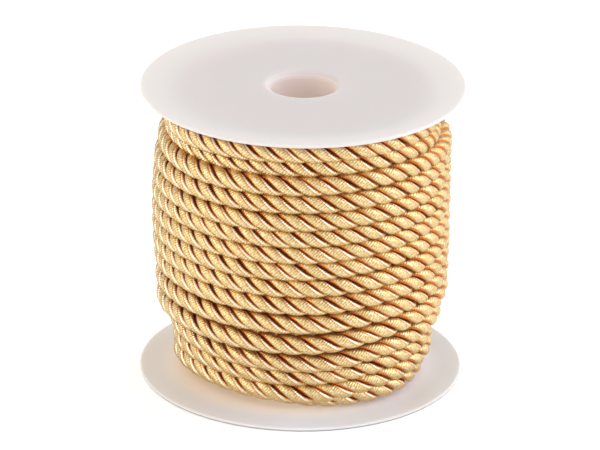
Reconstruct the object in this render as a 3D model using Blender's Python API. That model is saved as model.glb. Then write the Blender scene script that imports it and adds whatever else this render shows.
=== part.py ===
"""Twisted cord wound on a plain plastic spool.

Three solids, in metres, +Z up, standing on the spool's lower flange:
spool_bottom and spool_top are two equal moulded halves, each a thin flange
with half of the hollow hub. cord_winding is the wound cord as one solid, with
every turn of its outermost cord raised as a ridge that climbs round the spool.
The twist of the strands in the cord is finer than these solids.
"""
import math
from typing import NamedTuple

import bmesh
import bpy
import numpy as np

MM = 0.001

# Spool, sizes in mm
FLANGE_RADIUS = 43.0
FLANGE_THICKNESS = 1.0
SPOOL_HEIGHT = 81.2
RIM_ROUND = 0.4
BORE_RADIUS = 8.7
BORE_LIP = 2.0
HUB_RADIUS = 11.2
HUB_FILLET = 0.4
JOINT_GAP = 0.3

# Winding, sizes in mm
CORD_DIAMETER = 5.0
CLEARANCE = 0.3
VALLEY_SHARE = 0.2

# Steps round the axis, along an arc and across one turn of the cord
SPOOL_STEPS = 64
WINDING_STEPS = 60
ARC_STEPS = 4
STEPS_PER_TURN = 4
SPOOL_CREASE = math.radians(40.0)
WINDING_CREASE = math.radians(60.0)


class Turn(NamedTuple):
    """One turn of the outermost cord: its centre line in mm.

    Heights are taken 45 degrees left of the front, at the front and 45 degrees
    right of it, and also 90 degrees left or right where the cord wanders.
    Radii are taken 90 and 45 degrees left and 45 and 90 degrees right.
    """

    left: float
    front: float
    right: float
    radii: tuple
    far_left: float = None
    far_right: float = None

    def levels(self):
        """Return the heights from the far left to the far right."""
        return self.far_left, self.left, self.front, self.right, self.far_right


# From the lowest turn to the highest. The first comes out from under the
# second at the front. The lowest four lie one layer deeper than the rest.
# The next to last that shows sinks between its neighbours at both sides, and
# the last is buried: the cord goes down to it behind the spool's right side.
TURNS = (
    Turn(left=3.6, front=3.8, right=4.3, radii=(26.0, 23.5, 31.7, 30.5)),
    Turn(left=6.0, front=5.7, right=8.0, radii=(31.3, 29.8, 32.1, 32.5)),
    Turn(left=10.2, front=10.6, right=12.3, radii=(31.4, 29.8, 32.1, 32.7)),
    Turn(left=15.0, front=15.1, right=17.4, radii=(32.2, 31.3, 33.7, 34.9)),
    Turn(left=21.7, front=21.7, right=24.2, radii=(35.9, 34.8, 36.1, 36.5)),
    Turn(left=27.6, front=27.8, right=29.5, radii=(36.2, 35.4, 36.5, 36.6)),
    Turn(left=33.4, front=33.4, right=34.5, radii=(36.5, 36.0, 36.7, 36.7)),
    Turn(left=38.2, front=38.5, right=39.3, radii=(36.9, 36.3, 36.8, 36.8)),
    Turn(left=42.8, front=43.3, right=44.4, radii=(37.1, 36.5, 36.8, 36.8)),
    Turn(left=47.4, front=48.0, right=49.0, radii=(37.2, 36.6, 36.8, 36.8)),
    Turn(left=52.2, front=52.6, right=53.4, radii=(37.2, 36.7, 36.8, 36.8)),
    Turn(left=56.7, front=57.2, right=58.2, radii=(36.9, 36.9, 36.8, 36.8)),
    Turn(left=61.9, front=62.3, right=62.8, radii=(36.6, 36.9, 36.8, 36.8)),
    Turn(left=66.9, front=67.3, right=67.9, radii=(35.6, 36.9, 36.9, 36.9), far_left=67.2, far_right=66.0),
    Turn(left=70.9, front=72.2, right=72.9, radii=(33.9, 34.3, 36.8, 33.8), far_left=70.6, far_right=70.6),
    Turn(left=75.4, front=76.4, right=76.2, radii=(34.3, 36.6, 36.5, 33.5), far_left=74.8),
    Turn(left=77.3, front=77.7, right=78.3, radii=(28.5, 27.4, 28.0, 27.5)),
)
# How far round 45 degrees is, in turns
SIDE_SHARE = 0.125


class Finish(NamedTuple):
    """A plain finish: linear colour with alpha, and roughness."""

    colour: tuple
    roughness: float


WHITE_PLASTIC = Finish(colour=(0.80, 0.77, 0.76, 1.0), roughness=0.42)
GOLD_SATIN = Finish(colour=(0.70, 0.47, 0.20, 1.0), roughness=0.38)


def make_material(name, finish):
    """Return a Principled material with the finish's colour and roughness."""
    material = bpy.data.materials.new(name)
    material.use_nodes = True
    shader = material.node_tree.nodes["Principled BSDF"]
    shader.inputs["Base Color"].default_value = finish.colour
    shader.inputs["Roughness"].default_value = finish.roughness
    shader.inputs["Metallic"].default_value = 0.0
    return material


def finished_mesh(name, shape, material, crease):
    """Turn the bmesh into a smooth-shaded mesh with its material."""
    bmesh.ops.recalc_face_normals(shape, faces=shape.faces)
    mesh = bpy.data.meshes.new(name)
    shape.to_mesh(mesh)
    shape.free()
    mesh.materials.append(material)
    mesh.shade_smooth()
    mesh.set_sharp_from_angle(angle=crease)
    return mesh


def place(name, mesh):
    """Link a new object for the mesh and return it."""
    thing = bpy.data.objects.new(name, mesh)
    bpy.context.scene.collection.objects.link(thing)
    return thing


def arc(centre, radius, start, end):
    """Return the points of an arc in the (r, z) plane, angles in degrees."""
    points = []
    for angle in np.radians(np.linspace(start, end, ARC_STEPS + 1)):
        points.append((centre[0] + radius * math.cos(angle), centre[1] + radius * math.sin(angle)))
    return points


def spool_half_profile():
    """Return the outline of one half in mm, from its outside face up to the joint."""
    rim = FLANGE_RADIUS - RIM_ROUND
    inner_face = FLANGE_THICKNESS
    joint = (SPOOL_HEIGHT - JOINT_GAP) / 2.0
    outline = arc((rim, RIM_ROUND), RIM_ROUND, -90.0, 0.0)
    outline += arc((rim, inner_face - RIM_ROUND), RIM_ROUND, 0.0, 90.0)
    outline += arc((HUB_RADIUS + HUB_FILLET, inner_face + HUB_FILLET), HUB_FILLET, -90.0, -180.0)
    outline += [(HUB_RADIUS, joint), (BORE_RADIUS, joint)]
    outline += arc((BORE_RADIUS + BORE_LIP, BORE_LIP), BORE_LIP, -180.0, -90.0)
    return outline


def spool_half_mesh(material):
    """Turn the half's outline round the axis into one closed mesh."""
    shape = bmesh.new()
    ring = [shape.verts.new((r * MM, 0.0, z * MM)) for r, z in spool_half_profile()]
    edges = [shape.edges.new((a, b)) for a, b in zip(ring, ring[1:] + ring[:1])]
    bmesh.ops.spin(
        shape,
        geom=ring + edges,
        cent=(0.0, 0.0, 0.0),
        axis=(0.0, 0.0, 1.0),
        angle=2.0 * math.pi,
        steps=SPOOL_STEPS,
        use_merge=True,
    )
    bmesh.ops.remove_doubles(shape, verts=shape.verts, dist=0.001 * MM)
    return finished_mesh("spool_half", shape, material, SPOOL_CREASE)


def smooth_curve(knots, values, places):
    """Read a smooth curve through the knots that overshoots none of them."""
    steps = np.diff(knots)
    slopes = np.diff(values) / steps
    tangents = np.zeros(len(values))
    tangents[0] = slopes[0]
    tangents[-1] = slopes[-1]
    for i in range(1, len(values) - 1):
        before, after = slopes[i - 1], slopes[i]
        if before * after > 0.0:
            tangents[i] = 2.0 * before * after / (before + after)
    i = np.clip(np.searchsorted(knots, places) - 1, 0, len(steps) - 1)
    s = np.clip((places - knots[i]) / steps[i], 0.0, 1.0)
    ease = s * s * (3.0 - 2.0 * s)
    curve = values[i] * (1.0 - ease) + values[i + 1] * ease
    curve += steps[i] * tangents[i] * s * (1.0 - s) ** 2
    curve -= steps[i] * tangents[i + 1] * s * s * (1.0 - s)
    return curve


def centre_line(turns):
    """Return height and radius of the cord's centre, in mm, at each turn count.

    A whole number is the front of that turn, and the count grows to the right.
    """
    height_at, height, radius_at, radius = [], [], [], []
    for number, turn in enumerate(TURNS):
        for share, level in zip((-2.0, -1.0, 0.0, 1.0, 2.0), turn.levels()):
            if level is not None:
                height_at.append(number + share * SIDE_SHARE)
                height.append(level)
        radius_at += [number + share * SIDE_SHARE for share in (-2.0, -1.0, 1.0, 2.0)]
        radius += turn.radii
    heights = smooth_curve(np.array(height_at), np.array(height), turns)
    radii = smooth_curve(np.array(radius_at), np.array(radius), turns)
    below = np.minimum(turns + SIDE_SHARE, 0.0)
    above = np.maximum(turns - (len(TURNS) - 1 + SIDE_SHARE), 0.0)
    return heights + (below + above) * CORD_DIAMETER, radii


def winding_column(angle, lowest, highest):
    """Return the outer points (r, z) in mm of the winding at one angle.

    Points lie on the crests of the turns and evenly between them, and those
    past the flat ends are drawn in to the ends.
    """
    half = CORD_DIAMETER / 2.0
    turns = np.arange(-2, len(TURNS) + 2) + angle / (2.0 * math.pi)
    crest_z, crest_r = centre_line(turns)
    places = np.arange(len(turns) * STEPS_PER_TURN) / STEPS_PER_TURN
    heights = np.interp(places, np.arange(len(turns)), crest_z)
    points = []
    for z in np.clip(heights, lowest, highest):
        reach = half ** 2 - (z - crest_z) ** 2
        round_part = np.where(reach > 0.0, crest_r + np.sqrt(np.maximum(reach, 0.0)), 0.0)
        valley = np.interp(z, crest_z, crest_r) + VALLEY_SHARE * half
        points.append((max(round_part.max(), valley), z))
    return points


def winding_mesh(material):
    """Build the wound cord: ridged outside, plain bore, flat ends.

    Each column of points follows the turns up, so past the last column the
    same points are one turn higher in the first.
    """
    lowest = FLANGE_THICKNESS + CLEARANCE
    highest = SPOOL_HEIGHT - FLANGE_THICKNESS - CLEARANCE
    inner = HUB_RADIUS + CLEARANCE
    shape = bmesh.new()
    columns = []
    for step in range(WINDING_STEPS):
        angle = -math.pi + 2.0 * math.pi * step / WINDING_STEPS
        across, towards = math.sin(angle), -math.cos(angle)
        outline = winding_column(angle, lowest, highest)
        outline = [(inner, lowest)] + outline + [(inner, highest)]
        columns.append([shape.verts.new((r * across * MM, r * towards * MM, z * MM)) for r, z in outline])
    for step, column in enumerate(columns):
        following = columns[(step + 1) % WINDING_STEPS]
        shift = STEPS_PER_TURN if step == WINDING_STEPS - 1 else 0
        for i in range(1, len(column) - 2 - shift):
            shape.faces.new((column[i], following[i + shift], following[i + shift + 1], column[i + 1]))
        shape.faces.new((column[0], following[0], following[1], column[1]))
        shape.faces.new((column[-2], following[-2], following[-1], column[-1]))
        shape.faces.new((column[-1], following[-1], following[0], column[0]))
    bmesh.ops.remove_doubles(shape, verts=shape.verts, dist=0.002 * MM)
    bmesh.ops.triangulate(shape, faces=shape.faces)
    return finished_mesh("cord_winding", shape, material, WINDING_CREASE)


def build():
    """Clear the scene and make the spool's halves and the winding."""
    for thing in list(bpy.data.objects):
        bpy.data.objects.remove(thing, do_unlink=True)
    plastic = make_material("white_plastic", WHITE_PLASTIC)
    satin = make_material("gold_satin_cord", GOLD_SATIN)
    half = spool_half_mesh(plastic)
    place("spool_bottom", half)
    top = place("spool_top", half)
    top.location = (0.0, 0.0, SPOOL_HEIGHT * MM)
    top.rotation_euler = (math.pi, 0.0, 0.0)
    place("cord_winding", winding_mesh(satin))


build()
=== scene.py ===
"""Dresses a packed spool of twisted satin cord and sets up its studio.

The spool's two moulded halves stay as they are packed and get their plastic.
The wound body is replaced by the cord itself: three strands twisted together
and laid round the spool turn by turn, over the layer beneath and a core.
Sizes are in millimetres and angles in degrees where nothing else is said.
"""
import logging
import math
from dataclasses import dataclass, field
from enum import Enum
from typing import NamedTuple

import bpy
import numpy as np
from mathutils import Matrix, Vector


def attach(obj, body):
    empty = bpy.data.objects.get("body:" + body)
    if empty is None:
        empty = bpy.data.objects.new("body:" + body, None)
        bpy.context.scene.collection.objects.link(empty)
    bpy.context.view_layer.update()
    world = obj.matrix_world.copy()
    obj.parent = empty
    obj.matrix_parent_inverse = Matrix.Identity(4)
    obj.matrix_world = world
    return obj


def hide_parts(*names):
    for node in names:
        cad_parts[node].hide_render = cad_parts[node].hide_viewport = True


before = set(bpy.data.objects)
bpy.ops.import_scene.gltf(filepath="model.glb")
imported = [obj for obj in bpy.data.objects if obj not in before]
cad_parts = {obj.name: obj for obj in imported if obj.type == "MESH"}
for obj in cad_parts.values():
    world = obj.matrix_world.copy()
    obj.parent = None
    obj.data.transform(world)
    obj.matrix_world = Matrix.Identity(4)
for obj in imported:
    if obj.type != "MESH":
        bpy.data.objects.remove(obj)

LOG = logging.getLogger("spool")
BODY = "root"
MM = 0.001
FULL_TURN = 2.0 * math.pi
BLACK = (0.0, 0.0, 0.0, 1.0)
WHITE = (1.0, 1.0, 1.0, 1.0)
# Width of one band of a wave texture whose scale is one.
WAVE_PERIOD = FULL_TURN / 20.0
# Two values, the first where a change starts and the second where it is complete.
Span = tuple[float, float]


class Slot(Enum):
    """The record's material slots."""

    CORD = "cord"
    PLASTIC = "spool_plastic"


class Node(Enum):
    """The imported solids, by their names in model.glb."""

    BOTTOM = "spool_bottom"
    TOP = "spool_top"
    WINDING = "cord_winding"


def linear(code: str) -> tuple[float, float, float, float]:
    """Turn an sRGB hex colour into linear light.

    Args:
        code: Six hex digits after a hash sign.

    Returns:
        Red, green, blue and an alpha of one.
    """
    parts = [int(code[i:i + 2], 16) / 255.0 for i in (1, 3, 5)]
    light = [p / 12.92 if p <= 0.04045 else ((p + 0.055) / 1.055) ** 2.4 for p in parts]
    return light[0], light[1], light[2], 1.0


def add_node(
    tree: bpy.types.NodeTree, kind: str, feeds: dict[str | int, object] | None = None,
    **settings: object,
) -> bpy.types.Node:
    """Add one shader node with its settings, values and links.

    Args:
        tree: The material's or the world's node tree.
        kind: Blender's type name of the node.
        feeds: For an input's name or number, its value or the output that feeds it.
        **settings: The node's own properties.

    Returns:
        The new node.
    """
    node = tree.nodes.new(kind)
    for name, value in settings.items():
        setattr(node, name, value)
    for name, value in (feeds or {}).items():
        if isinstance(value, bpy.types.NodeSocket):
            tree.links.new(value, node.inputs[name])
        else:
            node.inputs[name].default_value = value
    return node


def blank_material(name: str) -> bpy.types.Material:
    """Make a material with an empty node tree.

    Args:
        name: The material's name.

    Returns:
        The material.
    """
    material = bpy.data.materials.new(name)
    material.use_nodes = True
    material.node_tree.nodes.clear()
    return material


def into_scene(name: str, data: bpy.types.ID) -> bpy.types.Object:
    """Put a mesh, light or camera into the scene.

    Args:
        name: The new object's name.
        data: What it shows.

    Returns:
        The object.
    """
    thing = bpy.data.objects.new(name, data)
    bpy.context.scene.collection.objects.link(thing)
    return thing


@dataclass(frozen=True)
class WrappedViscose:
    """Shiny viscose filament wrapped round the core of each strand.

    Viscose is a bright fibre of IOR 1.54. The wraps run round the strand, so
    the gloss spreads along it in a streak and the wraps show as fine ribs.
    Where strands meet, the furrows are painted from gold through amber to dark
    brown: painted shade for light that has passed gold thread several times.
    Painted highlights and a faint painted glow lie over that colour as well.

    Attributes:
        crest: Colour of fresh thread on a strand's face.
        worn: Colour of duller patches there.
        painted_gleam: Colour of painted highlights, almost white, on the strands' upper
        shoulders and on scattered filaments.
        rib_shade: Colour of the painted shade between two wraps.
        furrow: Tint of the painted shade in a shallow furrow.
        crease: Tint of the painted shade in a deeper one.
        depth: Tint of the painted shade at the bottom.
        furrow_at: Furrow attribute that has the first of these tints.
        crease_at: Furrow attribute that has the second.
        roughness: Roughness of the filaments.
        ior: Their refractive index.
        dyed_gloss: Share of the reflected light that takes the dye's colour, as on a metal.
        gloss: Strength of the clear reflection.
        gloss_tint: Its colour.
        gloss_stretch: How far the wraps draw it out along the strand.
        sheen: Strength of the soft light from loose fibre ends.
        sheen_roughness: How widely they spread it.
        sheen_tint: Its colour.
        glaze: Strength of the pale reflection that shows where the face turns away.
        glaze_roughness: Roughness of that reflection.
        glaze_ior: Its refractive index.
        painted_glow: Red-brown painted glow given off all over the cord, for light that
        passes through the thread into the furrows.
        rib_pitch: Distance between two wraps. The real one is 0.35, finer than a pixel,
            so they are drawn as coarse as they need to show.
        rib_breaks: How often the wraps are broken on the way round a strand.
        rib_unevenness: Share of the broken wraps in the ribs.
        rib_range: Values of the noise between which a broken wrap rises.
        rib_height: Height of a rib.
        rib_strength: Share of that height that shows.
        glint_size: Size of a painted glint, which stands for a bright filament on its own.
        glint_range: Values of the noise between which it appears.
        glint_share: How far it is painted towards the almost white highlight colour.
        patch_size: Size of the duller patches.
    """

    crest: str = "#EED998"
    worn: str = "#E0C680"
    painted_gleam: str = "#FCF4E0"
    rib_shade: str = "#BA985C"
    furrow: str = "#E4942E"
    crease: str = "#8A2E04"
    depth: str = "#200600"
    furrow_at: float = 0.45
    crease_at: float = 0.8
    roughness: float = 0.22
    ior: float = 1.54
    dyed_gloss: float = 0.85
    gloss: float = 0.9
    gloss_tint: str = "#FFF3D8"
    gloss_stretch: float = 0.7
    sheen: float = 0.15
    sheen_roughness: float = 0.4
    sheen_tint: str = "#FFF0CC"
    glaze: float = 0.24
    glaze_roughness: float = 0.3
    glaze_ior: float = 1.6
    painted_glow: str = "#280700"
    rib_pitch: float = 0.66
    rib_breaks: float = 9.0
    rib_unevenness: float = 0.5
    rib_range: Span = (0.35, 0.65)
    rib_height: float = 0.14
    rib_strength: float = 0.8
    glint_size: float = 0.5
    glint_range: Span = (0.5, 0.62)
    glint_share: float = 0.4
    patch_size: float = 6.0

    def material(self, name: str, shade: float = 1.0) -> bpy.types.Material:
        """Make the cord's material.

        Args:
            name: The material's name.
            shade: Share of the base colour kept under painted shade, lower in buried layers.

        Returns:
            The material, which reads the strand's UV map and furrow attribute.
        """
        material = blank_material(name)
        tree = material.node_tree
        place = add_node(tree, "ShaderNodeTexCoord")
        furrow = add_node(tree, "ShaderNodeAttribute", attribute_name="furrow")
        patches, glint_noise = (add_node(tree, "ShaderNodeTexNoise", {
            "Vector": place.outputs["Object"], "Scale": 1.0 / (size * MM), "Detail": detail,
        }) for size, detail in ((self.patch_size, 2.0), (self.glint_size, 1.0)))
        # The wraps, even ones mixed with broken ones. U is the length along the strand.
        bands = add_node(tree, "ShaderNodeTexWave", {
            "Vector": place.outputs["UV"], "Scale": WAVE_PERIOD / self.rib_pitch,
            "Distortion": 1.0, "Detail": 1.0, "Detail Scale": 0.5,
        }, wave_type="BANDS", bands_direction="X")
        stretched = add_node(tree, "ShaderNodeVectorMath", {
            0: place.outputs["UV"], 1: (1.0 / self.rib_pitch, self.rib_breaks, 1.0),
        }, operation="MULTIPLY")
        uneven = add_node(tree, "ShaderNodeTexNoise", {
            "Vector": stretched.outputs["Vector"],
            "Scale": 1.0, "Detail": 2.0, "Roughness": 0.7,
        })
        broken = add_node(tree, "ShaderNodeMapRange", {
            "Value": uneven.outputs["Fac"],
            "From Min": self.rib_range[0], "From Max": self.rib_range[1],
        })
        ribs = add_node(tree, "ShaderNodeMix", {
            "Factor": self.rib_unevenness,
            "A": bands.outputs["Fac"], "B": broken.outputs["Result"],
        })
        plain = add_node(tree, "ShaderNodeMix", {
            "Factor": patches.outputs["Fac"], "A": linear(self.worn), "B": linear(self.crest),
        }, data_type="RGBA")
        # Painted shade between the wraps.
        body = add_node(tree, "ShaderNodeMix", {
            "Factor": ribs.outputs["Result"],
            "A": linear(self.rib_shade), "B": plain.outputs["Result"],
        }, data_type="RGBA")
        # Painted glints: here and there, at random, a spot is painted towards the almost white
        # highlight colour, for a filament that stands off the wraps and catches the light.
        painted_glints = add_node(tree, "ShaderNodeMapRange", {
            "Value": glint_noise.outputs["Fac"], "From Min": self.glint_range[0],
            "From Max": self.glint_range[1], "To Max": self.glint_share,
        })
        # Painted highlight: a strand's upper shoulder, where the furrow attribute is below
        # zero, is painted almost white.
        painted_shoulder_highlight = add_node(tree, "ShaderNodeMapRange", {
            "Value": furrow.outputs["Fac"], "From Min": 0.0, "From Max": -1.0,
        })
        bright = body
        for share in (painted_glints, painted_shoulder_highlight):
            bright = add_node(tree, "ShaderNodeMix", {
                "Factor": share.outputs["Result"],
                "A": bright.outputs["Result"], "B": linear(self.painted_gleam),
            }, data_type="RGBA")
        # Painted shade: the furrow attribute picks a tint from gold through amber to dark brown.
        tone = add_node(tree, "ShaderNodeValToRGB", {"Fac": furrow.outputs["Fac"]})
        stops = tone.color_ramp.elements
        stops[0].position, stops[0].color = 0.0, WHITE
        stops[1].position, stops[1].color = 1.0, linear(self.depth)
        for position, tint in ((self.furrow_at, self.furrow), (self.crease_at, self.crease)):
            stops.new(position).color = linear(tint)
        gold = add_node(tree, "ShaderNodeMix", {
            "Factor": 1.0, "A": bright.outputs["Result"], "B": tone.outputs["Color"],
        }, data_type="RGBA", blend_type="MULTIPLY")
        # Painted shade: in buried layers the base colour is multiplied down.
        shaded = add_node(tree, "ShaderNodeMix", {
            "Factor": 1.0, "A": gold.outputs["Result"], "B": (shade, shade, shade, 1.0),
        }, data_type="RGBA", blend_type="MULTIPLY")
        relief = add_node(tree, "ShaderNodeBump", {
            "Height": ribs.outputs["Result"],
            "Distance": self.rib_height * MM, "Strength": self.rib_strength,
        })
        along = add_node(tree, "ShaderNodeTangent", direction_type="UV_MAP", uv_map="strand")
        # Its emission is the painted glow.
        shader = add_node(tree, "ShaderNodeBsdfPrincipled", {
            "Base Color": shaded.outputs["Result"],
            "Roughness": self.roughness, "IOR": self.ior, "Metallic": self.dyed_gloss,
            "Specular IOR Level": self.gloss, "Specular Tint": linear(self.gloss_tint),
            "Anisotropic": self.gloss_stretch, "Tangent": along.outputs["Tangent"],
            "Sheen Weight": self.sheen, "Sheen Roughness": self.sheen_roughness,
            "Sheen Tint": linear(self.sheen_tint), "Normal": relief.outputs["Normal"],
            "Coat Weight": self.glaze, "Coat Roughness": self.glaze_roughness,
            "Coat IOR": self.glaze_ior,
            "Emission Color": linear(self.painted_glow), "Emission Strength": 1.0,
        })
        add_node(tree, "ShaderNodeOutputMaterial", {"Surface": shader.outputs["BSDF"]})
        return material


@dataclass(frozen=True)
class MouldedPolypropylene:
    """Natural white polypropylene, injection moulded.

    It is slightly see-through, with a satin face and IOR 1.49. Its colour is
    painted cleaner white in the ring near the rim, for light that comes in from the
    edge, and faintly pink in the middle, for the cord showing through. Painted glow
    stands for light that comes through the thin wall of the bore and the lower flange.

    Attributes:
        rim: Colour of the ring near the rim, painted cleaner white for light from the edge.
        middle: Colour of the middle, painted faintly pink for the cord showing through.
        ring: Radii between which the middle's colour goes over into the rim's.
        roughness: Roughness of the satin face.
        ior: Refractive index.
        bore_painted_glow: Painted glow for light that comes through the wall of the bore.
        bore_ring: Radii between which it starts and is full.
        table_painted_glow: Painted glow for light that comes up through the lower flange,
            as shares of the way from its left edge to its right one, with the colour there.
        cord_painted_glow: The same close to the cord, painted golden for light reflected off it.
        cord_ring: Radii between which the light goes over into that.
        lit_heights: Heights between which all this painted glow starts and is full.
        flange_edge: Radius of the flanges.
        painted_edge_shadow: Colour of the painted shadow line where the lower flange's edge
            meets the table.
        edge_shadow_ring: Radii between which the line starts and is full.
        edge_shadow_heights: Heights between which it starts and is full.
        scatter: Share of the light that spreads inside the plastic.
        scatter_depth: How far it spreads.
        scatter_tint: How far each of red, green and blue does.
        grain_size: Size of the mould's fine grain.
        grain_height: Its height.
        grain_strength: Share of that height that shows.
    """

    rim: str = "#CECAC8"
    middle: str = "#D1C8C6"
    ring: Span = (31.0, 36.0)
    roughness: float = 0.38
    ior: float = 1.49
    bore_painted_glow: str = "#655448"
    bore_ring: Span = (9.2, 8.7)
    table_painted_glow: tuple[tuple[float, str], ...] = (
        (0.0, "#483A10"), (0.5, "#566276"), (0.9, "#000006"),
    )
    cord_painted_glow: tuple[tuple[float, str], ...] = (
        (0.1, "#84704A"), (0.5, "#8A8474"), (0.85, "#6E6B78"),
    )
    cord_ring: Span = (39.0, 30.0)
    lit_heights: Span = (3.0, 1.5)
    flange_edge: float = 43.0
    painted_edge_shadow: str = "#8C8886"
    edge_shadow_ring: Span = (42.2, 42.5)
    edge_shadow_heights: Span = (0.57, 0.27)
    scatter: float = 0.6
    scatter_depth: float = 5.0
    scatter_tint: tuple[float, float, float] = (1.0, 0.9, 0.85)
    grain_size: float = 0.4
    grain_height: float = 0.01
    grain_strength: float = 0.3

    def material(self, name: str) -> bpy.types.Material:
        """Make the spool's material.

        Args:
            name: The material's name.

        Returns:
            The material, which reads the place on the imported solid.
        """
        material = blank_material(name)
        tree = material.node_tree
        place = add_node(tree, "ShaderNodeTexCoord")
        parts = add_node(tree, "ShaderNodeSeparateXYZ", {"Vector": place.outputs["Object"]})
        flat = add_node(tree, "ShaderNodeVectorMath", {
            0: place.outputs["Object"], 1: (1.0, 1.0, 0.0),
        }, operation="MULTIPLY")
        from_axis = add_node(tree, "ShaderNodeVectorMath", {
            0: flat.outputs["Vector"],
        }, operation="LENGTH")
        height, radius = parts.outputs["Z"], from_axis.outputs["Value"]
        # How far the plastic has changed to each of these at a height or radius.
        share: dict[str, bpy.types.NodeSocket] = {}
        for change, value, (start, full), ease in (
            ("rim", radius, self.ring, "SMOOTHSTEP"), ("bore", radius, self.bore_ring, "LINEAR"),
            ("table", height, self.lit_heights, "LINEAR"),
            ("cord", radius, self.cord_ring, "SMOOTHSTEP"),
            ("edge", radius, self.edge_shadow_ring, "LINEAR"),
            ("foot", height, self.edge_shadow_heights, "LINEAR"),
        ):
            share[change] = add_node(tree, "ShaderNodeMapRange", {
                "Value": value, "From Min": start * MM, "From Max": full * MM,
            }, interpolation_type=ease).outputs["Result"]
        # Painted light: cleaner white towards the rim, faintly pink in the middle where the cord
        # shows through.
        white = add_node(tree, "ShaderNodeMix", {
            "Factor": share["rim"], "A": linear(self.middle), "B": linear(self.rim),
        }, data_type="RGBA")
        # Painted glow for light from the table through the thin lower flange. It is painted
        # warm at the left, cool in front and least at the right, and golden by the cord for
        # light reflected off it.
        across = add_node(tree, "ShaderNodeMapRange", {
            "Value": parts.outputs["X"],
            "From Min": -self.flange_edge * MM, "From Max": self.flange_edge * MM,
        })
        lights = []
        for stops in (self.table_painted_glow, self.cord_painted_glow):
            light = add_node(tree, "ShaderNodeValToRGB", {"Fac": across.outputs["Result"]})
            marks = light.color_ramp.elements
            marks.remove(marks[1])
            marks[0].position, marks[0].color = stops[0][0], linear(stops[0][1])
            for position, colour in stops[1:]:
                marks.new(position).color = linear(colour)
            lights.append(light.outputs["Color"])
        through = add_node(tree, "ShaderNodeMix", {
            "Factor": share["cord"], "A": lights[0], "B": lights[1],
        }, data_type="RGBA")
        on_table = add_node(tree, "ShaderNodeMix", {
            "Factor": share["table"], "A": BLACK, "B": through.outputs["Result"],
        }, data_type="RGBA")
        # Painted glow for light through the thin wall of the bore, so it is never dark inside.
        lit = add_node(tree, "ShaderNodeMix", {
            "Factor": share["bore"], "A": on_table.outputs["Result"],
            "B": linear(self.bore_painted_glow),
        }, data_type="RGBA")
        # Painted shadow: where the lower flange's edge meets the table, a thin grey line is
        # painted and the painted glow is taken out.
        touching = add_node(tree, "ShaderNodeMath", {
            0: share["edge"], 1: share["foot"],
        }, operation="MULTIPLY").outputs["Value"]
        with_edge_shadow = add_node(tree, "ShaderNodeMix", {
            "Factor": touching, "A": white.outputs["Result"], "B": linear(self.painted_edge_shadow),
        }, data_type="RGBA")
        glow = add_node(tree, "ShaderNodeMix", {
            "Factor": touching, "A": lit.outputs["Result"], "B": BLACK,
        }, data_type="RGBA")
        grain = add_node(tree, "ShaderNodeTexNoise", {
            "Vector": place.outputs["Object"],
            "Scale": 1.0 / (self.grain_size * MM), "Detail": 2.0,
        })
        relief = add_node(tree, "ShaderNodeBump", {
            "Height": grain.outputs["Fac"],
            "Distance": self.grain_height * MM, "Strength": self.grain_strength,
        })
        shader = add_node(tree, "ShaderNodeBsdfPrincipled", {
            "Base Color": with_edge_shadow.outputs["Result"],
            "Roughness": self.roughness, "IOR": self.ior,
            "Subsurface Weight": self.scatter, "Subsurface Scale": self.scatter_depth * MM,
            "Subsurface Radius": self.scatter_tint, "Normal": relief.outputs["Normal"],
            "Emission Color": glow.outputs["Result"], "Emission Strength": 1.0,
        })
        add_node(tree, "ShaderNodeOutputMaterial", {"Surface": shader.outputs["BSDF"]})
        return material


@dataclass(frozen=True)
class WhiteTable:
    """Matt white acrylic of a lit studio table, which leaves no edge or horizon.

    It is lit from below and behind, so it is brighter beside and behind the
    object than in front of it.

    Attributes:
        colour: Colour of the acrylic and of the light in it.
        roughness: Roughness of its face.
        front_glow: Strength of the light in front of the object.
        side_glow: Strength beside and behind it.
        side: Directions' Y between which it changes from one to the other; straight in
            front it is -1.
    """

    colour: str = "#F0F0F0"
    roughness: float = 0.9
    front_glow: float = 0.3
    side_glow: float = 0.4
    side: Span = (-0.95, -0.2)

    def material(self, name: str) -> bpy.types.Material:
        """Make the table top's material.

        Args:
            name: The material's name.

        Returns:
            The material.
        """
        material = blank_material(name)
        tree = material.node_tree
        place = add_node(tree, "ShaderNodeTexCoord")
        way = add_node(tree, "ShaderNodeVectorMath", {
            0: place.outputs["Object"],
        }, operation="NORMALIZE")
        parts = add_node(tree, "ShaderNodeSeparateXYZ", {"Vector": way.outputs["Vector"]})
        glow = add_node(tree, "ShaderNodeMapRange", {
            "Value": parts.outputs["Y"],
            "From Min": self.side[0], "From Max": self.side[1],
            "To Min": self.front_glow, "To Max": self.side_glow,
        }, interpolation_type="SMOOTHSTEP")
        shader = add_node(tree, "ShaderNodeBsdfPrincipled", {
            "Base Color": linear(self.colour), "Roughness": self.roughness,
            "Specular IOR Level": 0.0,
            "Emission Color": linear(self.colour), "Emission Strength": glow.outputs["Result"],
        })
        add_node(tree, "ShaderNodeOutputMaterial", {"Surface": shader.outputs["BSDF"]})
        return material


class Turn(NamedTuple):
    """One turn of the outermost cord: its centre line in mm.

    Heights are taken 45 degrees left of the front, at the front and 45 degrees
    right of it, and also 90 degrees left or right where the cord wanders.
    Radii are taken 90 and 45 degrees left and 45 and 90 degrees right.
    """

    left: float
    front: float
    right: float
    radii: tuple[float, float, float, float]
    far_left: float | None = None
    far_right: float | None = None

    def levels(self) -> tuple[float | None, ...]:
        """Return the heights from the far left to the far right."""
        return self.far_left, self.left, self.front, self.right, self.far_right


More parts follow.
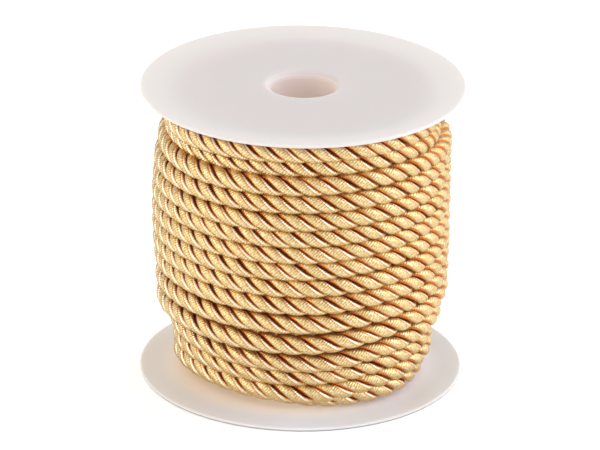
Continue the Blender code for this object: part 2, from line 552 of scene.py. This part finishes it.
# From the lowest turn to the highest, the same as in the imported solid. The
# first comes out from under the second at the front. The lowest four lie one
# layer deeper than the rest. The two below the last sink between their
# neighbours at the sides, and the last is buried.
TURNS = (
    Turn(left=3.6, front=3.8, right=4.3, radii=(26.0, 23.5, 31.7, 30.5)),
    Turn(left=6.0, front=5.7, right=8.0, radii=(31.3, 29.8, 32.1, 32.5)),
    Turn(left=10.2, front=10.6, right=12.3, radii=(31.4, 29.8, 32.1, 32.7)),
    Turn(left=15.0, front=15.1, right=17.4, radii=(32.2, 31.3, 33.7, 34.9)),
    Turn(left=21.7, front=21.7, right=24.2, radii=(35.9, 34.8, 36.1, 36.5)),
    Turn(left=27.6, front=27.8, right=29.5, radii=(36.2, 35.4, 36.5, 36.6)),
    Turn(left=33.4, front=33.4, right=34.5, radii=(36.5, 36.0, 36.7, 36.7)),
    Turn(left=38.2, front=38.5, right=39.3, radii=(36.9, 36.3, 36.8, 36.8)),
    Turn(left=42.8, front=43.3, right=44.4, radii=(37.1, 36.5, 36.8, 36.8)),
    Turn(left=47.4, front=48.0, right=49.0, radii=(37.2, 36.6, 36.8, 36.8)),
    Turn(left=52.2, front=52.6, right=53.4, radii=(37.2, 36.7, 36.8, 36.8)),
    Turn(left=56.7, front=57.2, right=58.2, radii=(36.9, 36.9, 36.8, 36.8)),
    Turn(left=61.9, front=62.3, right=62.8, radii=(36.6, 36.9, 36.8, 36.8)),
    Turn(
        left=66.9, front=67.3, right=67.9, radii=(35.6, 36.9, 36.9, 36.9),
        far_left=67.2, far_right=66.0,
    ),
    Turn(
        left=70.9, front=72.2, right=72.9, radii=(33.9, 34.3, 36.8, 33.8),
        far_left=70.6, far_right=70.6,
    ),
    Turn(left=75.4, front=76.4, right=76.2, radii=(34.3, 36.6, 36.5, 33.5), far_left=74.8),
    Turn(left=77.3, front=77.7, right=78.3, radii=(28.5, 27.4, 28.0, 27.5)),
)
# Where a turn's heights and radii are taken, in steps of 45 degrees from the front.
LEVEL_STEPS = (-2.0, -1.0, 0.0, 1.0, 2.0)
RADIUS_STEPS = (-2.0, -1.0, 1.0, 2.0)
STEP_SHARE = 0.125
# Which of the radii is the one 45 degrees right.
RIGHT_RADIUS = 2


def smooth_curve(knots: np.ndarray, values: np.ndarray, places: np.ndarray) -> np.ndarray:
    """Read a smooth curve through the knots that overshoots none of them.

    Args:
        knots: Places of the given values, rising.
        values: The value at each knot.
        places: Where the curve is read.

    Returns:
        The curve's value at each place.
    """
    steps = np.diff(knots)
    slopes = np.diff(values) / steps
    tangents = np.zeros(len(values))
    tangents[0] = slopes[0]
    tangents[-1] = slopes[-1]
    for i in range(1, len(values) - 1):
        before, after = slopes[i - 1], slopes[i]
        if before * after > 0.0:
            tangents[i] = 2.0 * before * after / (before + after)
    i = np.clip(np.searchsorted(knots, places) - 1, 0, len(steps) - 1)
    s = np.clip((places - knots[i]) / steps[i], 0.0, 1.0)
    ease = s * s * (3.0 - 2.0 * s)
    curve = values[i] * (1.0 - ease) + values[i + 1] * ease
    curve += steps[i] * tangents[i] * s * (1.0 - s) ** 2
    curve -= steps[i] * tangents[i + 1] * s * s * (1.0 - s)
    return curve


def outer_line(counts: np.ndarray) -> tuple[np.ndarray, np.ndarray]:
    """Follow the centre of the outermost cord.

    Args:
        counts: Turn counts; a whole number is the front, and they grow to the right.

    Returns:
        Height and radius in mm at each count.
    """
    height_at, height, radius_at, radius = [], [], [], []
    for number, turn in enumerate(TURNS):
        for step, level in zip(LEVEL_STEPS, turn.levels()):
            if level is not None:
                height_at.append(number + step * STEP_SHARE)
                height.append(level)
        radius_at += [number + step * STEP_SHARE for step in RADIUS_STEPS]
        radius += turn.radii
    heights = smooth_curve(np.array(height_at), np.array(height), counts)
    radii = smooth_curve(np.array(radius_at), np.array(radius), counts)
    return heights, radii


class Skin(NamedTuple):
    """A strand's vertices in mm, faces, face corners' UVs and vertices' tints of painted shade
    and highlight.
    """

    points: np.ndarray
    faces: list[list[int]]
    uv: np.ndarray
    tint: np.ndarray


def finish_piece(
    name: str, points: np.ndarray, faces: list[list[int]], material: bpy.types.Material,
) -> bpy.types.Object:
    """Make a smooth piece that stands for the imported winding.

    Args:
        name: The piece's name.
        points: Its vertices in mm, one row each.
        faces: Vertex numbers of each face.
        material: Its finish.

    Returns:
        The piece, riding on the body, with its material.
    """
    mesh = bpy.data.meshes.new(name)
    mesh.from_pydata((points * MM).tolist(), [], faces)
    mesh.materials.append(material)
    mesh.shade_smooth()
    piece = into_scene(name, mesh)
    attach(piece, BODY)
    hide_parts(Node.WINDING.value)
    LOG.info("%s: %d vertices, %d faces", name, len(mesh.vertices), len(mesh.polygons))
    return piece


@dataclass
class TwistedCord:
    """A cord of three strands twisted to the right, along a path round the spool.

    Each strand fills its third of the cord, with a round face between two deep,
    narrow furrows. The cord is soft, so its turns press each other a little flat.

    Attributes:
        strands: How many strands are twisted together.
        lay_low: Length of cord in which a strand goes once round, where the path starts.
        lay_high: The same where the path ends; the cord is wound tighter there.
        radius: Half the cord's thickness.
        step: Length of cord between two rings of points.
        profile: A strand's face from its upper furrow to its lower one, as angles from
        its middle, shares of the cord's radius and furrow tints. A tint above zero is
        painted shade, and one below zero is a painted highlight on the upper shoulder;
        the dark mark next to it is painted shade along the fold between two yarns.
        The lower side faces the next strand, so its painted shade starts early.
        valley_painted_shade: Least tint of painted shade where the cord lies against the
        turns above and below.
        valley_start: Cosine of the angle from outward where it starts.
        valley_width: How far the cosine falls until it is full.
        squareness: Power of the rounded square that the cord is pressed into; 2 is a circle.
        rib_slant: How far a wrap advances along its strand on the way round.
        closing: How a furrow changes over the cord, as degrees below the cord's middle
        and shares of its painted shade and depth. It gapes and is painted darkest at the
        top, and closes and is painted lighter at the bottom.
        waver: How a strand strays from an even twist, as radians and the length of cord
            in which it goes to and fro.
        waver_shift: Share of that length by which it is ahead of the strand before.
    """

    strands: int = 3
    lay_low: float = 16.6
    lay_high: float = 14.6
    radius: float = 2.75
    step: float = 0.75
    profile: tuple[tuple[float, float, float], ...] = (
        (-60.0, 0.44, 1.0), (-58.5, 0.60, 0.6), (-56.0, 0.70, 0.35), (-51.5, 0.79, 0.0),
        (-47.0, 0.84, -0.7), (-41.0, 0.89, -1.0), (-36.5, 0.92, -0.4), (-32.5, 0.93, 0.5),
        (-27.5, 0.955, 0.1), (-14.0, 0.99, 0.0), (0.0, 1.0, 0.0), (12.0, 0.99, 0.0),
        (24.0, 0.958, 0.0), (34.0, 0.915, 0.1), (42.0, 0.85, 0.36), (50.0, 0.75, 0.46),
        (57.0, 0.61, 0.6), (60.0, 0.44, 1.0),
    )
    valley_painted_shade: float = 0.15
    valley_start: float = 0.45
    valley_width: float = 0.6
    squareness: float = 2.2
    rib_slant: float = 0.2
    closing: tuple[tuple[float, float, float], ...] = (
        (-60.0, 1.25, 1.0), (-20.0, 1.05, 1.0), (10.0, 0.8, 1.0), (45.0, 0.25, 0.85),
    )
    waver: tuple[tuple[float, float], ...] = ((0.07, 93.0), (0.04, 41.0), (0.02, 17.0))
    waver_shift: float = 0.37

    def section(self) -> tuple[np.ndarray, np.ndarray, np.ndarray]:
        """Draw one strand's outline across the cord, closed at the cord's centre.

        Returns:
            Angle in radians from the strand's middle, distance from the cord's centre
            and furrow tint of each point, which paints shade above zero and a highlight below.
        """
        angles, shares, tint = np.array([*self.profile, (0.0, 0.0, 1.0)]).T
        return np.radians(angles), self.radius * shares, tint

    def twist(self, length: np.ndarray, number: int) -> np.ndarray:
        """Turn a strand round the cord.

        Args:
            length: Length of cord from the start to each ring.
            number: Which of the strands.

        Returns:
            Angle in radians of the strand's middle at each ring.
        """
        # Half the change of the rate, because the angle sums it up along the cord.
        change = 1.0 / self.lay_high - 1.0 / self.lay_low
        rate = 1.0 / self.lay_low + change * length / (2.0 * length[-1])
        angle = FULL_TURN * (length * rate + number / self.strands)
        for sway, period in self.waver:
            angle += sway * np.sin(FULL_TURN * (length / period + self.waver_shift * number))
        return angle

    def strand(
        self, number: int, angles: np.ndarray, heights: np.ndarray, radii: np.ndarray,
    ) -> Skin:
        """Lay one strand along the cord's path.

        Args:
            number: Which of the strands.
            angles: Angle in radians round the spool at each ring.
            heights: Height of the cord's centre there.
            radii: Radius of the cord's centre there.

        Returns:
            The strand's skin.
        """
        # The cord's centre line, with its own direction, outward and across at each ring.
        zero = np.zeros_like(angles)
        outward = np.stack([np.sin(angles), -np.cos(angles), zero], axis=1)
        centre = outward * radii[:, None] + np.stack([zero, zero, heights], axis=1)
        paces = np.linalg.norm(np.diff(centre, axis=0), axis=1)
        length = np.concatenate([[0.0], np.cumsum(paces)])
        along = self.unit(np.gradient(centre, axis=0))
        outward = self.unit(outward - along * np.sum(outward * along, axis=1)[:, None])
        across = np.cross(along, outward)

        # Each point's angle round the cord: none is outward, and a quarter turn is down
        # where the cord runs to the right.
        around, depth, tint = self.section()
        place = self.twist(length, number)[:, None] + around
        cosine, sine = np.cos(place), np.sin(place)
        ring = outward[:, None] * cosine[:, :, None] + across[:, None] * sine[:, :, None]
        below = np.degrees(np.mod(place + math.pi, FULL_TURN) - math.pi)
        stations, tints, depths = np.array(self.closing).T
        closed = np.interp(below, stations, depths)
        reach = self.radius - (self.radius - depth) * closed
        power = self.squareness
        pressed = (np.abs(cosine) ** power + np.abs(sine) ** power) ** (-1.0 / power)
        points = centre[:, None] + (reach * pressed)[:, :, None] * ring

        # Painted shade: the furrows' tint fades from the top of the cord to its bottom, and the
        # cord is painted darker where it lies against the turns above and below.
        buried = np.clip((self.valley_start - cosine) / self.valley_width, 0.0, 1.0)
        tint = np.minimum(tint * np.interp(below, stations, tints), 1.0)
        tint = np.where(buried > 0.0, np.maximum(tint, self.valley_painted_shade * buried), tint)

        # A strand leans, so it is longer than its cord, and its wraps lean with it.
        lean = math.atan(FULL_TURN * self.radius * 2.0 / (self.lay_low + self.lay_high))
        travel = length[:, None] / math.cos(lean) + self.radius * math.sin(lean) * around
        return self.skin(points, tint, travel)

    def skin(self, points: np.ndarray, tint: np.ndarray, travel: np.ndarray) -> Skin:
        """Join the rings of a strand into a closed skin.

        Args:
            points: Rings by sides by three.
            tint: Furrow tint of each point.
            travel: Length along the strand at each point.

        Returns:
            The strand's skin.
        """
        rings, sides = points.shape[:2]
        first = np.arange(rings - 1)[:, None] * sides
        side = np.arange(sides)[None, :]
        following = (side + 1) % sides
        quads = np.stack([
            first + side, first + sides + side, first + sides + following, first + following,
        ], axis=2)
        u = travel.reshape(-1)[quads]
        low = np.broadcast_to(side / sides, quads.shape[:2])
        high = low + 1.0 / sides
        v = np.stack([low, low, high, high], axis=2)
        uv = np.stack([u + self.rib_slant * v, v], axis=3).reshape(-1, 2)
        faces = quads.reshape(-1, 4).tolist()
        last = rings * sides
        faces += [list(range(sides)), list(range(last - 1, last - sides - 1, -1))]
        uv = np.concatenate([uv, np.zeros((2 * sides, 2))])
        return Skin(points.reshape(-1, 3), faces, uv, tint.reshape(-1))

    @staticmethod
    def unit(rows: np.ndarray) -> np.ndarray:
        """Return the rows at length one."""
        return rows / np.linalg.norm(rows, axis=-1, keepdims=True)

    def piece(self, name: str, skins: list[Skin], material: bpy.types.Material) -> None:
        """Make one piece from strands, with its UV map and furrow attribute.

        Args:
            name: The piece's name.
            skins: The strands in it.
            material: Their finish.
        """
        faces, start = [], 0
        for skin in skins:
            faces += [[corner + start for corner in face] for face in skin.faces]
            start += len(skin.points)
        points = np.concatenate([skin.points for skin in skins])
        thing = finish_piece(name, points, faces, material)
        layer = thing.data.uv_layers.new(name="strand")
        layer.uv.foreach_set("vector", np.concatenate([skin.uv for skin in skins]).ravel())
        # The furrow attribute carries the painted shade and the painted highlight.
        furrow = thing.data.attributes.new("furrow", "FLOAT", "POINT")
        furrow.data.foreach_set("value", np.concatenate([skin.tint for skin in skins]))


@dataclass
class Core:
    """The buried turns as one ridged body, which shows only as shadow in gaps.

    Attributes:
        bore: Radius of its hole, round the hub.
        low: Height where it starts.
        high: Height where it ends.
        sink: How far its face lies inside the centre of the outer cord.
        least: Its smallest radius.
        ridge: Height of a buried turn's ridge.
        pitch: Rise of a buried turn.
        columns: Columns of points round it.
        levels: Points in a column.
        shade: Share of the cord's colour kept under painted shade down there.
    """

    bore: float = 11.5
    low: float = 1.3
    high: float = 79.9
    sink: float = 4.4
    least: float = 26.3
    ridge: float = 0.4
    pitch: float = 4.9
    columns: int = 120
    levels: int = 140
    shade: float = 0.6

    def build(self, finish: WrappedViscose) -> None:
        """Build the core.

        Args:
            finish: The cord's finish, darkened here with painted shade.
        """
        heights = np.linspace(self.low, self.high, self.levels)
        side = np.arange(self.columns)
        # From the back round by the left, the front and the right.
        turns = side / self.columns - 0.5
        rows = []
        for turn in turns:
            counts = np.arange(-1, len(TURNS) + 1) + turn
            crest_z, crest_r = outer_line(counts)
            face = np.maximum(np.interp(heights, crest_z, crest_r) - self.sink, self.least)
            face += self.ridge * np.cos(FULL_TURN * (heights / self.pitch - turn))
            rows.append(np.concatenate([[self.bore], face, [self.bore]]))
        reach = np.array(rows)
        angles = FULL_TURN * turns[:, None]
        level = np.broadcast_to(np.concatenate([[self.low], heights, [self.high]]), reach.shape)
        points = np.stack([reach * np.sin(angles), -reach * np.cos(angles), level], axis=2)
        count = reach.shape[1]
        first, place = side[:, None] * count, np.arange(count)[None, :]
        after, above = (side[:, None] + 1) % self.columns * count, (place + 1) % count
        quads = np.stack([
            first + place, after + place, after + above, first + above,
        ], axis=2).reshape(-1, 4)
        # The core wears a copy of the cord's finish darkened with painted shade.
        thing = finish_piece(
            "cord_core", points.reshape(-1, 3), quads.tolist(),
            finish.material("gold_wrapped_viscose_painted_shade", shade=self.shade),
        )
        run = np.broadcast_to(FULL_TURN * self.least * turns[:, None], reach.shape)
        uv = np.stack([run, level / self.pitch], axis=2).reshape(-1, 2)[quads.reshape(-1)]
        thing.data.uv_layers.new(name="strand").uv.foreach_set("vector", uv.ravel())


@dataclass
class Winding:
    """The wound cord: its outer turns, the layer beneath them and the core.

    Attributes:
        cord: The cord of the turns that show.
        lining: The same cord in the layer beneath, with plainer strands.
        finish: The cord's finish.
        core: What lies under both.
        start: Turn count where the outer cord comes out of the core.
        end: Turn count where it has gone back in.
        inner_radius: Radius of the centre line of the layer beneath.
        inner_low: Height where that layer starts.
        inner_high: Height where it ends.
        inner_pitch: Its rise in one turn.
    """

    cord: TwistedCord = field(default_factory=TwistedCord)
    # The layer beneath has painted shade in its furrow tints too.
    lining: TwistedCord = field(default_factory=lambda: TwistedCord(
        step=1.2, profile=(
            (-60.0, 0.64, 1.0), (-52.0, 0.85, 0.2), (-36.0, 0.98, 0.2), (10.0, 1.0, 0.0),
            (44.0, 0.91, 0.4), (60.0, 0.64, 1.0),
        ),
    ))
    finish: WrappedViscose = field(default_factory=WrappedViscose)
    core: Core = field(default_factory=Core)
    start: float = -0.18
    end: float = 15.9
    inner_radius: float = 31.9
    inner_low: float = 23.0
    inner_high: float = 76.9
    inner_pitch: float = 4.9

    def outer_turns(self) -> None:
        """Build the three strands of the turns that show."""
        satin = self.finish.material("gold_wrapped_viscose")
        mean = np.mean([turn.radii[RIGHT_RADIUS] for turn in TURNS])
        rings = int((self.end - self.start) * FULL_TURN * mean / self.cord.step)
        counts = np.linspace(self.start, self.end, rings)
        heights, radii = outer_line(counts)
        for number in range(self.cord.strands):
            skin = self.cord.strand(number, FULL_TURN * counts, heights, radii)
            self.cord.piece(f"cord_strand_{number + 1}", [skin], satin)

    def inner_turns(self) -> None:
        """Build the layer beneath, which runs the other way."""
        satin = self.finish.material("gold_wrapped_viscose_beneath")
        total = (self.inner_high - self.inner_low) / self.inner_pitch
        rings = int(total * FULL_TURN * self.inner_radius / self.lining.step)
        counts = np.linspace(0.0, total, rings)
        heights = self.inner_low + self.inner_pitch * counts
        radii = np.full(rings, self.inner_radius)
        skins = [
            self.lining.strand(number, -FULL_TURN * counts, heights, radii)
            for number in range(self.lining.strands)
        ]
        self.lining.piece("cord_layer_beneath", skins, satin)

    def build(self) -> None:
        """Build the winding's pieces."""
        self.outer_turns()
        self.inner_turns()
        self.core.build(self.finish)


@dataclass
class Spool:
    """The moulded spool, whose packed halves stay and get their plastic.

    Attributes:
        finish: The plastic.
    """

    finish: MouldedPolypropylene = field(default_factory=MouldedPolypropylene)

    def build(self) -> None:
        """Give both halves the plastic."""
        plastic = self.finish.material("white_moulded_polypropylene")
        for half in (Node.BOTTOM, Node.TOP):
            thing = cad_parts[half.value]
            for place in thing.material_slots:
                place.material = plastic
            faces = len(thing.data.polygons)
            LOG.info("%s: %s, %d faces kept", half.value, Slot.PLASTIC.value, faces)


def towards(azimuth: float, height: float) -> Vector:
    """Find a direction seen from the spool.

    Args:
        azimuth: Degrees to the right of the camera's side.
        height: Degrees above the table.

    Returns:
        The direction at length one.
    """
    turn, rise = math.radians(azimuth), math.radians(height)
    level = math.cos(rise)
    return Vector((math.sin(turn) * level, -math.cos(turn) * level, math.sin(rise)))


@dataclass(frozen=True)
class Softbox:
    """An oblong studio light that faces the winding's middle.

    Attributes:
        name: The light's name.
        azimuth: Degrees to the right of the camera's side.
        height: Degrees above the table.
        width: Its width, in metres.
        drop: Its height, in metres.
        glow: Brightness of its cloth, in times a white room's.
        colour: Colour of its light.
        reach: Distance from the winding, in metres.
    """

    name: str
    azimuth: float
    height: float
    width: float
    drop: float
    glow: float
    colour: str
    reach: float = 1.2

    def build(self, target: Vector) -> None:
        """Hang the light.

        Args:
            target: The point it faces.
        """
        way = towards(self.azimuth, self.height)
        lamp = bpy.data.lights.new(self.name, "AREA")
        lamp.shape = "RECTANGLE"
        lamp.size = self.width
        lamp.size_y = self.drop
        lamp.energy = self.glow * math.pi * self.width * self.drop
        lamp.color = linear(self.colour)[:3]
        thing = into_scene(self.name, lamp)
        thing.location = target + way * self.reach
        thing.rotation_euler = way.to_track_quat("Z", "Y").to_euler()


@dataclass(frozen=True)
class TentPatch:
    """A part of the white tent that is brighter or dimmer than the rest.

    Attributes:
        azimuth: Degrees to the right of the camera's side.
        height: Degrees above the horizon.
        inner: Half angle, in degrees, within which it has its full brightness.
        outer: Half angle where the rest of the tent starts.
        glow: Its brightness.
    """

    azimuth: float
    height: float
    inner: float
    outer: float
    glow: float

    def over(
        self, tree: bpy.types.NodeTree, way: bpy.types.NodeSocket, rest: bpy.types.NodeSocket,
    ) -> bpy.types.NodeSocket:
        """Lay the patch over the tent.

        Args:
            tree: The world's node tree.
            way: The direction looked at.
            rest: Brightness of the tent without it.

        Returns:
            Brightness of the tent with it.
        """
        facing = add_node(tree, "ShaderNodeVectorMath", {
            0: way, 1: tuple(towards(self.azimuth, self.height)),
        }, operation="DOT_PRODUCT")
        share = add_node(tree, "ShaderNodeMapRange", {
            "Value": facing.outputs["Value"],
            "From Min": math.cos(math.radians(self.outer)),
            "From Max": math.cos(math.radians(self.inner)),
        }, interpolation_type="SMOOTHSTEP")
        mixed = add_node(tree, "ShaderNodeMix", {
            "Factor": share.outputs["Result"], "A": rest, "B": self.glow,
        })
        return mixed.outputs["Result"]


@dataclass
class Studio:
    """The camera where the photographer stood, the table and the lights.

    Attributes:
        elevation: The camera's angle above the horizon, in degrees.
        roll: Its turn about its own axis, in degrees.
        distance: From the camera to its target, in metres.
        target: What it points at, in metres.
        lens: Its focal length.
        sensor: Width of the picture that this is for.
        sight: Distances from the camera between which it sees, in metres.
        floor_reach: Half the table's side, in metres.
        wall_glow: Brightness of the white tent's walls.
        ceiling_glow: Brightness of its top.
        wall_height: Angle above the horizon, in degrees, where the walls start to dim.
        patches: Its bright right side, its left side and the opening where the camera
            looks in.
        table: The table top's finish.
        lights: The softboxes.
    """

    elevation: float = 23.02
    roll: float = 0.62
    distance: float = 1.634
    target: tuple[float, float, float] = (-0.00046, 0.0, 0.04069)
    lens: float = 368.6
    sensor: float = 36.0
    sight: Span = (0.05, 50.0)
    floor_reach: float = 8.0
    wall_glow: float = 1.1
    ceiling_glow: float = 0.55
    wall_height: float = 8.0
    patches: tuple[TentPatch, ...] = (
        TentPatch(azimuth=105.0, height=25.0, inner=35.0, outer=55.0, glow=1.85),
        TentPatch(azimuth=-45.0, height=38.0, inner=15.0, outer=38.0, glow=1.8),
        TentPatch(azimuth=0.0, height=23.0, inner=22.0, outer=50.0, glow=0.95),
    )
    table: WhiteTable = field(default_factory=WhiteTable)
    lights: tuple[Softbox, ...] = (
        Softbox(
            "softbox_right", azimuth=66.0, height=24.0, width=0.9, drop=0.5, glow=1.5,
            colour="#D6E2FF",
        ),
        Softbox(
            "softbox_left", azimuth=-75.0, height=15.0, width=0.6, drop=0.4, glow=3.0,
            colour="#FFDDA4",
        ),
    )

    def camera(self) -> None:
        """Place the camera and make it the scene's."""
        lens = bpy.data.cameras.new("photographer")
        lens.lens = self.lens
        lens.sensor_width = self.sensor
        lens.sensor_fit = "HORIZONTAL"
        lens.clip_start, lens.clip_end = self.sight
        thing = into_scene("photographer", lens)
        tilt = Matrix.Rotation(math.radians(90.0 - self.elevation), 4, "X")
        back = tilt @ Vector((0.0, 0.0, self.distance))
        spin = Matrix.Rotation(math.radians(self.roll), 4, "Z")
        thing.matrix_world = Matrix.Translation(Vector(self.target) + back) @ tilt @ spin
        bpy.context.scene.camera = thing

    def floor(self) -> None:
        """Lay the table top under the spool."""
        mesh = bpy.data.meshes.new("table_top")
        corners = [
            (x * self.floor_reach, y * self.floor_reach, 0.0)
            for x, y in ((-1.0, -1.0), (1.0, -1.0), (1.0, 1.0), (-1.0, 1.0))
        ]
        mesh.from_pydata(corners, [], [(0, 1, 2, 3)])
        mesh.materials.append(self.table.material("white_acrylic_table"))
        thing = into_scene("table_top", mesh)

    def room(self) -> None:
        """Light the white room round the table, in plain colours."""
        world = bpy.data.worlds.new("white_room")
        world.use_nodes = True
        tree = world.node_tree
        tree.nodes.clear()
        place = add_node(tree, "ShaderNodeTexCoord")
        way = place.outputs["Generated"]
        up = add_node(tree, "ShaderNodeSeparateXYZ", {"Vector": way})
        cloth = add_node(tree, "ShaderNodeMapRange", {
            "Value": up.outputs["Z"],
            "From Min": math.sin(math.radians(self.wall_height)), "From Max": 1.0,
            "To Min": self.wall_glow, "To Max": self.ceiling_glow,
        }, interpolation_type="SMOOTHSTEP")
        bright = cloth.outputs["Result"]
        for patch in self.patches:
            bright = patch.over(tree, way, bright)
        glow = add_node(tree, "ShaderNodeBackground", {"Color": WHITE, "Strength": bright})
        add_node(tree, "ShaderNodeOutputWorld", {"Surface": glow.outputs["Background"]})
        bpy.context.scene.world = world
        bpy.context.scene.view_settings.view_transform = "Standard"

    def build(self) -> None:
        """Set up camera, table, room and lights."""
        self.camera()
        self.floor()
        self.room()
        for light in self.lights:
            light.build(Vector(self.target))
        LOG.info("studio: table, tent and %d lights", len(self.lights))


def main() -> None:
    """Build the object and its studio."""
    logging.basicConfig(level=logging.INFO, format="%(message)s")
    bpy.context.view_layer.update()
    Spool().build()
    Winding().build()
    Studio().build()


if __name__ == "__main__":
    main()
